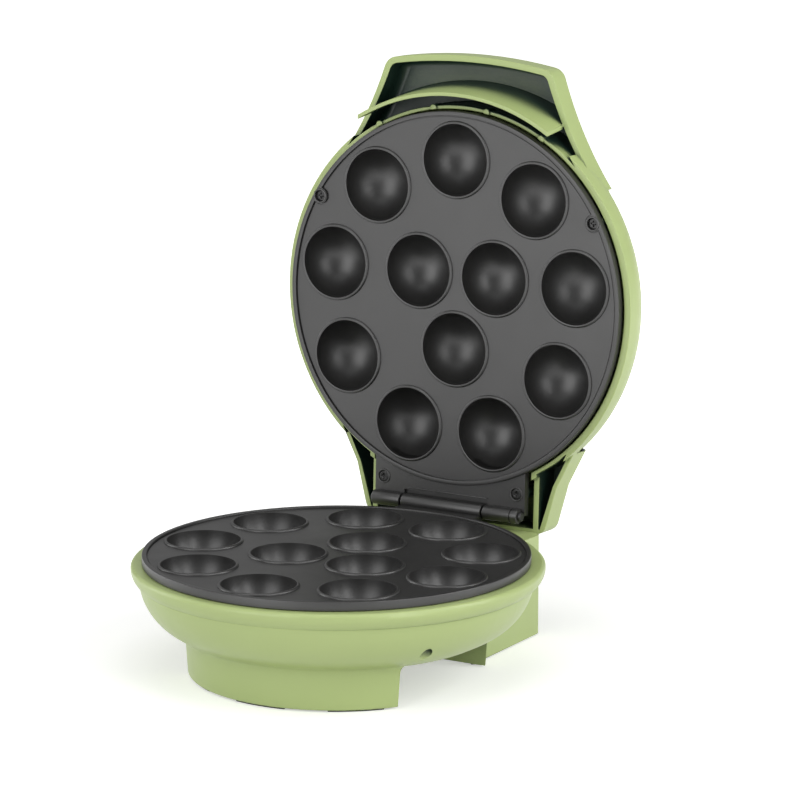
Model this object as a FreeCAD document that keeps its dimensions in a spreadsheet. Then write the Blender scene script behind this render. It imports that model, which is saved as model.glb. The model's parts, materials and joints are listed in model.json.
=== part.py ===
"""Takoyaki maker: a round two-plate cooker with a hinged lid, shown standing open.

Every piece is drawn around the centre of the lower plate's cooking surface, with the
lid closed: X to the right, Y to the hinge, Z up.  Its Placement then puts it into the
part's own frame, which stands on Z = 0 with its origin under the middle of the open
cooker, and swings the lid's pieces open about the hinge.
"""
import FreeCAD, Part
import math
import os
import re
import Sketcher
from FreeCAD import Placement, Rotation, Vector

doc = FreeCAD.newDocument("takoyaki_maker")

# ---------------------------------------------------------------- driving sizes (mm)
SIZES = [
    # cooking plates
    ("edge_land", 2.5, "flat land between the outer cups' lips and a plate's raised edge"),
    ("plate_t", 3.4, "plate thickness under the cooking surface"),
    ("plate_gap", 2.4, "distance between the two cooking surfaces, closed"),
    ("rim_w", 2.4, "width of the raised edge of a plate"),
    ("rim_rise", 1.05, "height of the raised edge"),
    ("cup_r", 19.0, "inner radius of a cup"),
    ("cup_wall", 2.5, "wall of a cup"),
    ("lip_w", 1.5, "width of a cup's lip"),
    ("lip_rise", 1.06, "height of a cup's lip"),
    ("cup_top", 5.0, "angle below the surface at which a cup's outside begins (deg)"),
    ("ring_gap", 4.0, "gap between the walls of the outer and the inner cups, along the radius"),
    ("outer_cups", 9, "cups in the outer ring"),
    ("cup_gap", 2.55, "gap between the walls of the inner cups"),
    ("inner_cups", 3, "cups in the inner ring"),
    ("inner_shift", 2.0, "sideways shift of the inner ring"),
    # heaters, under each plate
    ("heater_d", 6.6, "diameter of the heater tube"),
    ("heater_drop", 13.0, "depth of the heater's axis under the surface"),
    ("heater_gap", 13.0, "half of the angle left open in the heater ring (deg)"),
    ("heater_bend", 6.0, "radius of the heater's end bends"),
    ("heater_out", 3.0, "how far the heater's ends stand out under its heat shield"),
    ("groove_clear", 0.2, "clearance of the heater in its groove"),
    ("groove_wall", 2.0, "wall of the heater's groove"),
    ("bush_r", 4.8, "radius of a ceramic bush on a heater end"),
    ("bush_len", 5.0, "length of a ceramic bush"),
    ("tab_w", 4.8, "width of a flat terminal"),
    ("tab_t", 0.8, "thickness of a flat terminal"),
    ("tab_len", 4.5, "length of a flat terminal past its bush"),
    # heat shields
    ("shield_past", 8.7, "how far a heat shield's flat bottom reaches past the outer cups' centres"),
    ("shield_slope", 3.4, "width of a heat shield's sloping side"),
    ("shield_gap", 3.5, "gap between the cups and the heat shield"),
    ("shield_rise", 4.5, "height of a heat shield's sloping side"),
    ("shield_t", 0.8, "sheet thickness of a heat shield"),
    ("post_r", 3.3, "radius of a plate's posts for its heat shield"),
    ("post_inset", 4.4, "how far the posts stand inside the outer cups' ring"),
    ("post_count", 3, "posts on a plate"),
    ("post_angle", 90.0, "angle of a plate's first post (deg)"),
    # hinge
    ("hinge_out", 11.96, "distance of the hinge axis behind the plates' edge"),
    ("knuckle_r", 3.85, "outer radius of the hinge knuckles"),
    ("pin_r", 1.6, "radius of the hinge pin"),
    ("pin_clear", 0.05, "running clearance of the pin"),
    ("barrel_half", 45.5, "half of the length of the hinge barrel and of its leaf"),
    ("knuckle_left", -26.4, "left end of the lower plate's knuckle"),
    ("knuckle_right", 22.0, "right end of the lower plate's knuckle"),
    ("knuckle_gap", 1.2, "gap beside the lower plate's knuckle"),
    ("open_angle", 92.35, "swing of the lid from closed to open (deg)"),
    ("leaf_drop", 1.2, "step from the cooking surface down to the leaf"),
    ("leaf_t", 4.0, "thickness of the leaf"),
    ("leaf_under", 14.7, "how far the leaf reaches in under the plate's edge"),
    ("leaf_relief", 1.9, "room kept in front of the lower plate's knuckle"),
    ("neck_t", 3.0, "thickness of the lower plate's hinge neck"),
    ("cap_t", 0.9, "thickness of the hinge pin's heads"),
    ("cap_r", 2.3, "radius of the hinge pin's heads"),
    # base shell
    ("wall", 2.5, "wall of the moulded shells"),
    ("tunnel_h", 22.5, "height of the tunnel under the bowl"),
    ("deck_drop", 3.9, "depth of the base's top face under the surface"),
    ("deck_cover", 2.9, "how far the plate covers the edge of the base's opening"),
    ("flange_out", 6.6, "how far the base's flange stands out past the plate, at its sides"),
    ("flange_shift", 1.5, "distance of the flange's centre behind the plate's"),
    ("flange_round", 2.2, "rounding of the flange's upper edge"),
    ("band_h", 8.7, "height of the flange's band"),
    ("band_taper", 3.2, "how far the band curves in towards its foot"),
    ("band_step", 1.8, "step in from the band's foot to the bowl, at the sides"),
    ("band_foot", 0.8, "height of the bowl's straight edge under the band"),
    ("bowl_curve_r", 29.9, "curve of the bowl's side"),
    ("bowl_inward", 19.1, "how far the bowl's side curves in"),
    ("floor_step", 1.2, "height of the bowl's foot over its flat underside"),
    ("blend_r", 6.0, "curve between the bowl and its pedestals"),
    ("pedestal_inset", 4.2, "how far a pedestal stands inside the bowl's foot"),
    ("pedestal_drop", 5.6, "height of the curve between them"),
    ("pedestal_taper", 1.0, "how far a pedestal tapers in"),
    ("pedestal_round", 1.2, "rounding of the pedestals' bottom edge"),
    ("tunnel_half", 43.4, "half of the free width between the pedestals"),
    ("wiring_room", 10.7, "room under the heat shield for the thermostat and the wires"),
    ("tail_side", 9.4, "how far the base's hinge block reaches past the barrel's ends"),
    ("tail_past", 4.34, "distance of its back face behind the hinge axis"),
    ("tail_top", 7.3, "depth of the hinge block's top"),
    ("tail_round", 4.0, "rounding of its back corners"),
    ("stop_x", 30.0, "place of the two stop ribs beside the middle"),
    ("stop_w", 4.0, "width of a stop rib"),
    ("stop_gap", 0.3, "gap of the open lid at its stop"),
    ("stop_lower", 1.0, "how far a stop rib's top is under the block's top"),
    ("stop_h", 11.7, "height of a stop rib"),
    # fasteners of the base
    ("screw_inset", 6.7, "distance of the base screws inside the plates' edge"),
    ("screw_angle", 30.0, "angle of the front screws before the X axis (deg)"),
    ("back_screw_angle", 50.0, "angle of the back screws behind the X axis (deg)"),
    ("boss_r", 5.5, "radius of a screw boss"),
    ("access_r", 3.1, "radius of a screw's access shaft"),
    ("screw_seat", 9.1, "length of the wall that a base screw goes through"),
    ("screw_r", 1.5, "radius of a screw's thread"),
    ("screw_clear", 0.2, "clearance of a screw in its through hole"),
    ("thread_clear", 0.05, "clearance of a screw in its threaded hole"),
    ("screw_head_r", 2.75, "radius of a screw's head"),
    ("screw_head_h", 1.6, "height of a screw's head"),
    ("cross_w", 0.8, "width of a screw's cross recess"),
    ("cross_len", 3.2, "length of a screw's cross recess"),
    ("cross_deep", 1.0, "depth of a screw's cross recess"),
    ("screw_bite", 1.9, "how deep a base screw goes into its seat"),
    ("small_screw_len", 7.0, "thread length of a heat shield screw"),
    ("lid_screw_len", 10.0, "thread length of the upper plate's screws"),
    ("side_inset", 3.9, "distance of the upper plate's side screws inside its edge"),
    ("leaf_screw_in", 5.1, "distance of the leaf screws inside the leaf's ends"),
    ("leaf_screw_up", 11.16, "distance of the leaf screws from the hinge axis"),
    # feet
    ("pad_t", 0.8, "thickness of a rubber foot"),
    ("pad_w", 5.0, "width of a rubber foot"),
    ("pad_edge", 1.6, "distance of a rubber foot from the pedestal's edge"),
    ("pad_angle", 22.0, "length of a rubber foot, as an angle (deg)"),
    ("pad_pitch", 39.0, "angle from one rubber foot to the next (deg)"),
    ("heel_pad", 76.0, "length of the rubber foot under the hinge block's back edge"),
    # thermostat, fuse and wiring block
    ("thermostat_post_r", 4.3, "radius of the plate's thermostat post"),
    ("thermostat_r", 7.5, "radius of the thermostat"),
    ("thermostat_h", 5.5, "height of the thermostat"),
    ("thermostat_hole", 10.0, "radius of the hole for it in the heat shield"),
    ("strap_w", 6.0, "width of the thermostat's strap"),
    ("strap_t", 0.8, "thickness of the thermostat's strap"),
    ("strap_foot", 7.0, "length of the strap's feet"),
    ("rivet_r", 1.2, "radius of a rivet"),
    ("rivet_head_r", 2.2, "radius of a rivet's heads"),
    ("rivet_head_t", 0.8, "thickness of a rivet's heads"),
    ("fuse_r", 2.0, "radius of the thermal fuse"),
    ("fuse_len", 14.0, "length of the thermal fuse"),
    ("fuse_lead_r", 0.5, "radius of the fuse's leads"),
    ("fuse_lead", 6.0, "length of each lead"),
    ("fuse_x", -32.0, "place of the fuse beside the middle"),
    ("fuse_y", -30.0, "place of the fuse before the centre"),
    ("clip_t", 0.6, "sheet thickness of the fuse's clip"),
    ("clip_w", 6.0, "width of the fuse's clip"),
    ("clip_foot", 6.0, "length of the clip's foot"),
    ("block_w", 34.0, "width of the terminal block"),
    ("block_d", 14.0, "depth of the terminal block"),
    ("block_h", 11.0, "height of the terminal block"),
    ("block_gap", 5.1, "gap between the terminal block and the tunnel's wall"),
    ("block_pitch", 10.0, "distance between its terminals"),
    ("gland_r", 5.0, "radius of the cord gland's neck"),
    ("gland_flange_r", 6.5, "radius of the cord gland's flanges"),
    ("gland_flange_t", 1.5, "thickness of the cord gland's flanges"),
    ("gland_bore_r", 3.4, "radius of the cord hole"),
    ("gland_below", 9.1, "depth of the cord gland's axis under the block's top"),
    # lid shell
    ("lid_step", 2.0, "how far the lid's side stands inside the base's flange"),
    ("lid_low", 6.0, "height of the lid's rim over the lower surface, closed"),
    ("lid_gap", 0.8, "gap between the plate and the lid's rim"),
    ("lid_ring_w", 2.0, "width of the rim beside the handle"),
    ("lid_side", 6.0, "height of the lid's straight side"),
    ("dome_edge_r", 24.0, "curve of the lid's shoulder"),
    ("dome_turn", 80.0, "angle through which the shoulder turns (deg)"),
    ("handle_up", 7.0, "height of the handle's rim over the lid's"),
    ("handle_h", 18.0, "height of the handle"),
    ("handle_wall", 3.0, "wall of the handle"),
    ("handle_top_t", 3.5, "thickness of the handle's top"),
    ("handle_root", 52.0, "angle of the handle's root beside the middle (deg)"),
    ("handle_side_r", 200.0, "hollow curve of the handle's sides"),
    ("handle_end_x", 49.4, "half width of the handle at its corners"),
    ("handle_reach", 19.1, "how far the handle's corners reach past the lid"),
    ("handle_front_r", 275.0, "curve of the handle's front edge"),
    ("handle_corner_r", 8.0, "rounding of the handle's corners"),
    ("handle_edge_r", 7.0, "rounding of the handle's upper edge"),
    ("apron_gap", 5.5, "gap between the lid's rim and the apron under the handle"),
    ("apron_t", 2.0, "thickness of the apron"),
    ("apron_half", 56.9, "half width of the apron"),
    ("apron_flare", 3.5, "how far the apron leans out towards the handle's top"),
    ("apron_low", 3.7, "how far the apron hangs under the lower surface"),
    ("stud_r", 1.9, "radius of the studs on the lid's ring"),
    ("stud_rise", 1.2, "how far the studs stand out"),
    ("stud_inner", 9.1, "angle of the inner studs (deg)"),
    ("stud_outer", 28.8, "angle of the outer studs (deg)"),
    ("back_low", 9.6, "height of the lid's tail rim"),
    ("back_h", 18.4, "height of the lid's tail"),
    ("back_root", 42.96, "angle of the tail's root beside the middle (deg)"),
    ("back_flare", 6.9, "how far the tail widens towards its root"),
    ("back_mid_up", 15.66, "distance of that bend before the hinge axis"),
    ("back_pocket", 6.3, "from the rib's inner face to the tail's side"),
    ("back_past", 10.04, "distance of the tail's end behind the hinge axis"),
    ("back_corner_r", 6.0, "rounding of the tail's corners"),
    ("back_edge_r", 6.0, "rounding of the tail's upper edge"),
    ("back_rib_gap", 2.1, "gap between the hinge leaf and the ribs beside it"),
    ("back_rib_t", 3.0, "thickness of those ribs"),
    ("lid_boss_r", 3.8, "radius of the lid's screw bosses"),
    # indicator lamps in the lid
    ("lamp_x", 9.0, "place of the lamps beside the middle"),
    ("lamp_y", 62.0, "place of the lamps before the centre"),
    ("lens_r", 3.6, "radius of a lamp lens"),
    ("lens_flange_r", 4.8, "radius of the lens's flange"),
    ("lens_flange_t", 1.2, "thickness of the lens's flange"),
    ("lens_rise", 1.0, "how far a lens stands out of the lid"),
    ("lens_clear", 0.15, "clearance of a lens in its hole"),
    ("bulb_r", 1.8, "radius of a lamp bulb"),
    ("bulb_len", 3.5, "length of a lamp bulb"),
    ("holder_t", 1.2, "thickness of the lamp holder"),
]

# Lengths that follow from the driving sizes.
DERIVED = {
    # cups and plates
    "cup_out": "cup_r + cup_wall",
    "lip_r": "cup_r + lip_w",
    "lip_round": "lip_rise",
    "lip_ring": "lip_r - lip_rise",
    "inner_ring_r": "(cup_out + cup_gap/2)/sin(180/inner_cups)",
    "outer_ring_r": "inner_ring_r + 2*cup_out + ring_gap",
    "plate_r": "outer_ring_r + lip_r + edge_land + rim_w",
    "upper_back": "plate_gap + plate_t",
    # heaters and heat shields
    "heater_r": "(inner_ring_r + inner_shift + outer_ring_r)/2",
    "groove_half": "heater_d/2 + groove_clear",
    "groove_top": "heater_drop - groove_half",
    "groove_foot": "heater_drop + groove_clear",
    "rib_half": "groove_half + groove_wall",
    "shield_r": "outer_ring_r + shield_past",
    "shield_rim_r": "shield_r + shield_slope",
    "shield_drop": "cup_out + shield_gap",
    "shield_foot": "shield_drop + shield_t",
    "heater_leg": "shield_drop + heater_out",
    "post_ring_r": "outer_ring_r - post_inset",
    # hinge
    "hinge_y": "plate_r + hinge_out",
    "hinge_z": "plate_gap/2",
    "leaf_front_y": "plate_r - leaf_under",
    "leaf_low": "plate_gap + leaf_drop",
    "leaf_high": "leaf_low + leaf_t",
    # base shell
    "deck_r": "plate_r - deck_cover",
    "flange_r": "plate_r + flange_out",
    "band_low_r": "flange_r - band_taper",
    "band_low": "deck_drop + band_h",
    "band_curve_r": "((band_h - flange_round)^2 + band_taper^2)/(2*band_taper)",
    "bowl_r": "band_low_r - band_step",
    "bowl_top": "band_low + band_foot",
    "bowl_low_r": "bowl_r - bowl_inward",
    "room_floor": "shield_foot + wiring_room",
    "bowl_floor": "room_floor + wall",
    "bowl_low": "bowl_floor - floor_step",
    "pedestal_r": "bowl_low_r - pedestal_inset",
    "pedestal_top": "bowl_low + pedestal_drop",
    "pedestal_foot_r": "pedestal_r - pedestal_taper",
    "plate_height": "bowl_floor + tunnel_h",
    "pedestal_foot": "plate_height - pad_t",
    "tail_half": "barrel_half + tail_side",
    "tail_back": "hinge_y + tail_past",
    "tail_front": "tunnel_half + wall",
    "stop_top": "tail_top + stop_lower",
    "stop_low": "stop_top + stop_h",
    "stop_back": "hinge_y + (back_end_y - hinge_y)*cos(open_angle)"
                 " + (back_low - hinge_z)*sin(open_angle) - stop_gap",
    "gland_drop": "tail_top + gland_below",
    "block_y": "tunnel_half + wall + block_gap + block_d/2",
    # fasteners
    "base_screw_r": "plate_r - screw_inset",
    "access_top": "deck_drop + screw_seat",
    "base_screw_len": "screw_seat + screw_bite",
    "side_screw_r": "plate_r - side_inset",
    "leaf_screw_x": "barrel_half - leaf_screw_in",
    "leaf_screw_y": "hinge_y - leaf_screw_up",
    # lid shell
    "lid_r": "flange_r - lid_step",
    "lid_ring_r": "plate_r + lid_gap",
    "lid_ring_out_r": "lid_ring_r + lid_ring_w",
    "dome_start": "lid_low + lid_side",
    "dome_centre": "lid_r - dome_edge_r",
    "crown_edge": "dome_centre + dome_edge_r*cos(dome_turn)",
    "crown_low": "dome_start + dome_edge_r*sin(dome_turn)",
    "crown_r": "crown_edge/cos(dome_turn)",
    "crown_top": "crown_low + crown_r*(1 - sin(dome_turn))",
    "inner_edge_r": "dome_edge_r - wall",
    "inner_crown_r": "crown_r - wall",
    "inner_turn_z": "dome_start + sqrt(inner_edge_r^2 - (lid_ring_r - dome_centre)^2)",
    "handle_low": "lid_low + handle_up",
    "handle_high": "handle_low + handle_h",
    "handle_root_x": "lid_ring_out_r*sin(handle_root)",
    "handle_root_y": "lid_ring_out_r*cos(handle_root)",
    "handle_end_y": "lid_r + handle_reach",
    "apron_r": "lid_ring_out_r + apron_gap + apron_t",
    "apron_top": "handle_high - 3*handle_top_t/4",
    "back_high": "back_low + back_h",
    "back_rib_x": "barrel_half + back_rib_gap",
    "back_end_x": "back_rib_x + back_pocket",
    "back_mid_x": "back_end_x + back_flare",
    "back_root_x": "lid_r*sin(back_root)",
    "back_root_y": "lid_r*cos(back_root)",
    "back_mid_y": "hinge_y - back_mid_up",
    "back_end_y": "hinge_y + back_past",
    "lamp_face": "crown_top - crown_r + sqrt(crown_r^2 - lamp_x^2 - lamp_y^2)",
    # place in the open cooker's own frame
    "rest_back": "hinge_y*(1 - cos(open_angle)) + crown_r"
                 " + (crown_top - crown_r - hinge_z)*sin(open_angle)",
    "centre_y": "(flange_r - flange_shift - rest_back)/2",
}

sheet = doc.addObject("Spreadsheet::Sheet", "sizes")
for row, (name, size, note) in enumerate(SIZES, start=1):
    sheet.set(f"A{row}", name)
    sheet.set(f"B{row}", str(size))
    sheet.set(f"C{row}", note)
    sheet.setAlias(f"B{row}", name)
doc.recompute()
ALIASES = {name for name, _, _ in SIZES}
SAME_PLACE = 1e-6


def bound(formula):
    """Write a formula in size names as an expression on the spreadsheet."""
    def cell(match):
        word = match.group()
        if word in DERIVED:
            return "(" + bound(DERIVED[word]) + ")"
        return "sizes." + word if word in ALIASES else word
    return re.sub(r"[a-z][a-z0-9_]*", cell, formula)


def value(formula):
    return float(sheet.evalExpression(bound(formula)))


def bind(thing, prop, formula):
    thing.setExpression(prop, bound(formula))


def at(thing, x="0", y="0", z="0"):
    for axis, formula in zip("xyz", (x, y, z)):
        bind(thing, "Placement.Base." + axis, formula)
    return thing


def turn(thing, axis, formula):
    """Turn a piece about one of its own axes by a bound angle."""
    thing.Placement = Placement(Vector(), Rotation(axis, 1))
    bind(thing, "Placement.Rotation.Angle", formula)
    return thing


# ------------------------------------------------------------- sketches and features
def close_outline(sketch, corners):
    """Draw a closed outline.  A corner is (x, y), or (x, y, radius, side) where the
    stretch that ends there is an arc: side 1 turns left, -1 turns right."""
    spots = [Vector(value(corner[0]), value(corner[1]), 0) for corner in corners]
    ends = []
    for index, corner in enumerate(corners):
        start, stop = spots[index - 1], spots[index]
        if len(corner) == 2:
            line = sketch.addGeometry(Part.LineSegment(start, stop), False)
            ends.append((line, 1, 2))
            continue
        radius, side = value(corner[2]), corner[3]
        middle, chord = (start + stop) / 2, stop - start
        lift = math.sqrt(radius ** 2 - (chord.Length / 2) ** 2)
        left = Vector(-chord.y, chord.x, 0).normalize()
        centre = middle + left * lift * side
        first, last = (start, stop) if side > 0 else (stop, start)
        angles = [math.atan2(p.y - centre.y, p.x - centre.x) for p in (first, last)]
        circle = Part.Circle(centre, Vector(0, 0, 1), radius)
        arc = sketch.addGeometry(Part.ArcOfCircle(circle, *angles), False)
        ends.append((arc, 1, 2) if side > 0 else (arc, 2, 1))
        tie(sketch, Sketcher.Constraint("Radius", arc, radius), corner[2])
    for index, (edge, _, finish) in enumerate(ends):
        following, begin, _ = ends[(index + 1) % len(ends)]
        sketch.addConstraint(Sketcher.Constraint("Coincident", edge, finish, following, begin))
        for kind, axis, formula, place in (("DistanceX", -2, corners[index][0], spots[index].x),
                                           ("DistanceY", -1, corners[index][1], spots[index].y)):
            if formula == "0":
                sketch.addConstraint(Sketcher.Constraint("PointOnObject", edge, finish, axis))
            else:
                tie(sketch, Sketcher.Constraint(kind, -1, 1, edge, finish, place), formula)


def tie(sketch, constraint, formula):
    number = sketch.addConstraint(constraint)
    bind(sketch, f"Constraints[{number}]", formula)


def sketch_on(body, role, corners, height="0"):
    sketch = body.newObject("Sketcher::SketchObject", body.Label + "_outline")
    plane = next(item for item in body.Origin.OriginFeatures if item.Role == role)
    sketch.AttachmentSupport = [(plane, "")]
    sketch.MapMode = "FlatFace"
    bind(sketch, "AttachmentOffset.Base.z", height)
    close_outline(sketch, corners)
    return sketch


def turned(label, corners):
    """Body turned about Z from an outline of (radius, height) corners."""
    body = doc.addObject("PartDesign::Body", label)
    sketch = sketch_on(body, "XZ_Plane", corners)
    revolution = body.newObject("PartDesign::Revolution", label + "_turn")
    revolution.Profile = sketch
    revolution.ReferenceAxis = (sketch, ["V_Axis"])
    revolution.Angle = 360
    return body


def prism(label, corners, low, high):
    """Body padded up from an outline of (x, y) corners between two heights."""
    body = doc.addObject("PartDesign::Body", label)
    sketch = sketch_on(body, "XY_Plane", corners, low)
    pad = body.newObject("PartDesign::Pad", label + "_pad")
    pad.Profile = sketch
    bind(pad, "Length", f"({high}) - ({low})")
    return body


def bar(label, corners, half_width, middle="0"):
    """Body padded both ways along X from an outline of (y, z) corners."""
    body = doc.addObject("PartDesign::Body", label)
    sketch = sketch_on(body, "YZ_Plane", corners, f"({middle}) - ({half_width})")
    pad = body.newObject("PartDesign::Pad", label + "_pad")
    pad.Profile = sketch
    bind(pad, "Length", f"2*({half_width})")
    return body


def upright(edge):
    """Whether an edge runs up rather than along."""
    rise = edge.Vertexes[-1].Point - edge.Vertexes[0].Point
    return abs(rise.z) > math.hypot(rise.x, rise.y)


def lies_at(edge, axis, place):
    """Whether both ends of an edge lie at one place on an axis."""
    return all(abs(getattr(vertex.Point, axis) - place) < SAME_PLACE for vertex in edge.Vertexes)


def round_edges(body, radius, wanted):
    """Fillet the edges of a body's last feature that the test picks out."""
    doc.recompute()
    tip = body.Tip
    names = [f"Edge{number}" for number, edge in enumerate(tip.Shape.Edges, start=1) if wanted(edge)]
    fillet = body.newObject("PartDesign::Fillet", body.Label + "_round")
    fillet.Base = (tip, names)
    bind(fillet, "Radius", radius)
    return body


def cylinder(radius, height, x="0", y="0", z="0", label="round"):
    thing = doc.addObject("Part::Cylinder", label)
    bind(thing, "Radius", radius)
    bind(thing, "Height", height)
    return at(thing, x, y, z)


def rod(radius, start, stop, y, z, label="rod"):
    """Cylinder along X between two places."""
    thing = doc.addObject("Part::Cylinder", label)
    bind(thing, "Radius", radius)
    bind(thing, "Height", f"({stop}) - ({start})")
    thing.Placement = Placement(Vector(), Rotation(Vector(0, 1, 0), 90))
    return at(thing, start, y, z)


def box(x, y, z, label="block"):
    """Box between two places on each axis."""
    thing = doc.addObject("Part::Box", label)
    for prop, (low, high) in zip(("Length", "Width", "Height"), (x, y, z)):
        bind(thing, prop, f"({high}) - ({low})")
    return at(thing, x[0], y[0], z[0])


def fuse(things, label="joined"):
    thing = doc.addObject("Part::MultiFuse", label)
    thing.Shapes = things
    return thing


def cut(base, tools, label="cut"):
    thing = doc.addObject("Part::Cut", label)
    thing.Base = base
    thing.Tool = tools[0] if len(tools) == 1 else fuse(tools)
    return thing


def common(first, second, label="shared"):
    thing = doc.addObject("Part::Common", label)
    thing.Base = first
    thing.Tool = second
    return thing


def ring(inner, outer, height, x="0", y="0", z="0", label="ring"):
    return cut(cylinder(outer, height, x, y, z), [cylinder(inner, height, x, y, z)], label)


def mirrored(thing, label="mirrored"):
    """Copy of a lower piece for the upper plate, across the gap between them."""
    mirror = doc.addObject("Part::Mirroring", label)
    mirror.Source = thing
    mirror.Normal = Vector(0, 0, 1)
    bind(mirror, "Base.z", "hinge_z")
    return mirror


def polar(radius, angle):
    """Formulas for a place at a radius and an angle."""
    return f"({radius})*cos({angle})", f"({radius})*sin({angle})"


def beside(middle, side, near, far):
    """Stretch of X on one side (-1 or 1) of a middle, from a near to a far distance."""
    ends = [f"{middle} + {side}*({reach})" for reach in (near, far)]
    return ends if side > 0 else ends[::-1]


# ------------------------------------------------------------------ finished pieces
finished = []


def keep(thing, name, body_name):
    """Name a finished piece and put it where its body stands in the open cooker."""
    thing.Label = name
    if body_name == "base":
        at(thing, "0", "centre_y", "plate_height")
    else:
        turn(thing, Vector(-1, 0, 0), "open_angle")
        at(thing, "0",
           "centre_y + hinge_y - hinge_y*cos(open_angle) - hinge_z*sin(open_angle)",
           "plate_height + hinge_z + hinge_y*sin(open_angle) - hinge_z*cos(open_angle)")
    finished.append(thing)


# ------------------------------------------------------------------ cooking plates
def cup_spots():
    """Places of all cups on a plate: an outer ring and a shifted inner ring."""
    for index in range(int(value("outer_cups"))):
        yield polar("outer_ring_r", f"-90 + 360/outer_cups*{index}")
    for index in range(int(value("inner_cups"))):
        x, y = polar("inner_ring_r", f"90 + 360/inner_cups*{index}")
        yield f"inner_shift + {x}", y


def post_spots():
    """Places of a plate's posts, between its outer cups."""
    for index in range(int(value("post_count"))):
        yield polar("post_ring_r", f"post_angle + 360/post_count*{index}")


def cup_plate():
    """One cast plate face up: disc, raised edge, cups, lips, heater rib and posts."""
    solids = [turned("disc", [
        ("0", "0"), ("plate_r - rim_w", "0"), ("plate_r - rim_w", "rim_rise"),
        ("plate_r", "rim_rise"), ("plate_r", "-plate_t"),
        ("heater_r + rib_half", "-plate_t"), ("heater_r + rib_half", "-groove_foot"),
        ("heater_r - rib_half", "-groove_foot"), ("heater_r - rib_half", "-plate_t"),
        ("0", "-plate_t")])]
    hollows = [ring("heater_r - groove_half", "heater_r + groove_half", "2*groove_half",
                    z="-groove_top - 2*groove_half")]
    for x, y in cup_spots():
        shell = doc.addObject("Part::Sphere", "cup_shell")
        bind(shell, "Radius", "cup_out")
        bind(shell, "Angle2", "-cup_top")
        lip = doc.addObject("Part::Torus", "cup_lip")
        bind(lip, "Radius1", "lip_ring")
        bind(lip, "Radius2", "lip_round")
        hollow = doc.addObject("Part::Sphere", "cup_hollow")
        bind(hollow, "Radius", "cup_r")
        solids += [at(shell, x, y), at(lip, x, y)]
        hollows.append(at(hollow, x, y))
    for x, y in post_spots():
        solids.append(cylinder("post_r", "shield_drop - plate_t/2", x, y, "-shield_drop", "post"))
        hollows.append(cylinder("screw_r + thread_clear", "small_screw_len + shield_t", x, y,
                                "-shield_drop", "post_hole"))
    solids.append(cylinder("thermostat_post_r", "shield_drop - plate_t/2", "inner_shift", "0",
                           "-shield_drop", "thermostat_post"))
    return solids, hollows


def lower_plate():
    solids, hollows = cup_plate()
    solids.append(rod("knuckle_r", "knuckle_left", "knuckle_right", "hinge_y", "hinge_z", "knuckle"))
    solids.append(box(("knuckle_left", "knuckle_right"), ("plate_r - rim_w*2", "hinge_y"),
                      ("-plate_t", "neck_t - plate_t"), "neck"))
    hollows.append(rod("pin_r + pin_clear", "-barrel_half", "barrel_half", "hinge_y", "hinge_z",
                       "pin_hole"))
    for x, y in base_screw_spots():
        solids.append(cylinder("boss_r", "deck_drop - plate_t/2", x, y, "-deck_drop", "seat"))
        hollows.append(cylinder("screw_r + thread_clear", "deck_drop - plate_t/4", x, y,
                                "-deck_drop", "seat_hole"))
    keep(cut(fuse(solids), hollows), "lower_plate", "base")


def upper_plate():
    solids, hollows = cup_plate()
    casting = mirrored(cut(fuse(solids), hollows))
    leaf = box(("-barrel_half", "barrel_half"), ("leaf_front_y", "hinge_y"),
               ("leaf_low", "leaf_high"), "leaf")
    knuckles = [rod("knuckle_r", start, stop, "hinge_y", "hinge_z") for start, stop in (
        ("cap_t - barrel_half", "knuckle_left - knuckle_gap"),
        ("knuckle_right + knuckle_gap", "barrel_half - 2*cap_t"))]
    relief = box(("knuckle_left - knuckle_gap", "knuckle_right + knuckle_gap"),
                 ("hinge_y - knuckle_r - leaf_relief", "hinge_y + knuckle_r"), ("0", "leaf_high + leaf_t"),
                 "relief")
    # the cups' backs pass through the leaf, so they are opened again from inside
    cup_rooms = []
    for x, y in cup_spots():
        room = doc.addObject("Part::Sphere", "cup_room")
        bind(room, "Radius", "cup_r")
        cup_rooms.append(at(room, x, y, "plate_gap"))
    holes = [rod("pin_r + pin_clear", "-barrel_half", "barrel_half", "hinge_y", "hinge_z")]
    for x, y, face in [(*spot, "plate_gap") for spot in side_screw_spots()] \
            + [(*spot, "leaf_low") for spot in leaf_screw_spots()]:
        holes.append(cylinder("screw_head_r + screw_clear", "screw_head_h + rim_rise", x, y,
                              f"{face} - rim_rise", "head_seat"))
        holes.append(cylinder("screw_r + screw_clear", "leaf_high", x, y, face, "through_hole"))
    keep(cut(fuse([casting, leaf] + knuckles), [relief] + cup_rooms + holes), "upper_plate", "lid")


# ------------------------------------------------------------------------- fasteners
def base_screw_spots():
    for angle in ("-screw_angle", "back_screw_angle", "180 - back_screw_angle",
                  "180 + screw_angle"):
        yield polar("base_screw_r", angle)


def side_screw_spots():
    for angle in ("-screw_angle", "180 + screw_angle"):
        yield polar("side_screw_r", angle)


def leaf_screw_spots():
    for side in ("-", ""):
        yield side + "leaf_screw_x", "leaf_screw_y"


def screws(spots, face, length):
    """Pan head screws pointing up, with the outer faces of their heads at a height."""
    pieces = []
    for x, y in spots:
        head = cylinder("screw_head_r", "screw_head_h", x, y, face, "screw_head")
        thread = cylinder("screw_r", f"{length} + screw_head_h/2", x, y,
                          f"{face} + screw_head_h/2", "screw_thread")
        slots = [box((f"{x} - {half_x}", f"{x} + {half_x}"), (f"{y} - {half_y}", f"{y} + {half_y}"),
                     (face, f"{face} + cross_deep"), "cross")
                 for half_x, half_y in (("cross_len/2", "cross_w/2"), ("cross_w/2", "cross_len/2"))]
        pieces.append(cut(fuse([head, thread]), slots, "screw"))
    return fuse(pieces)


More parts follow.
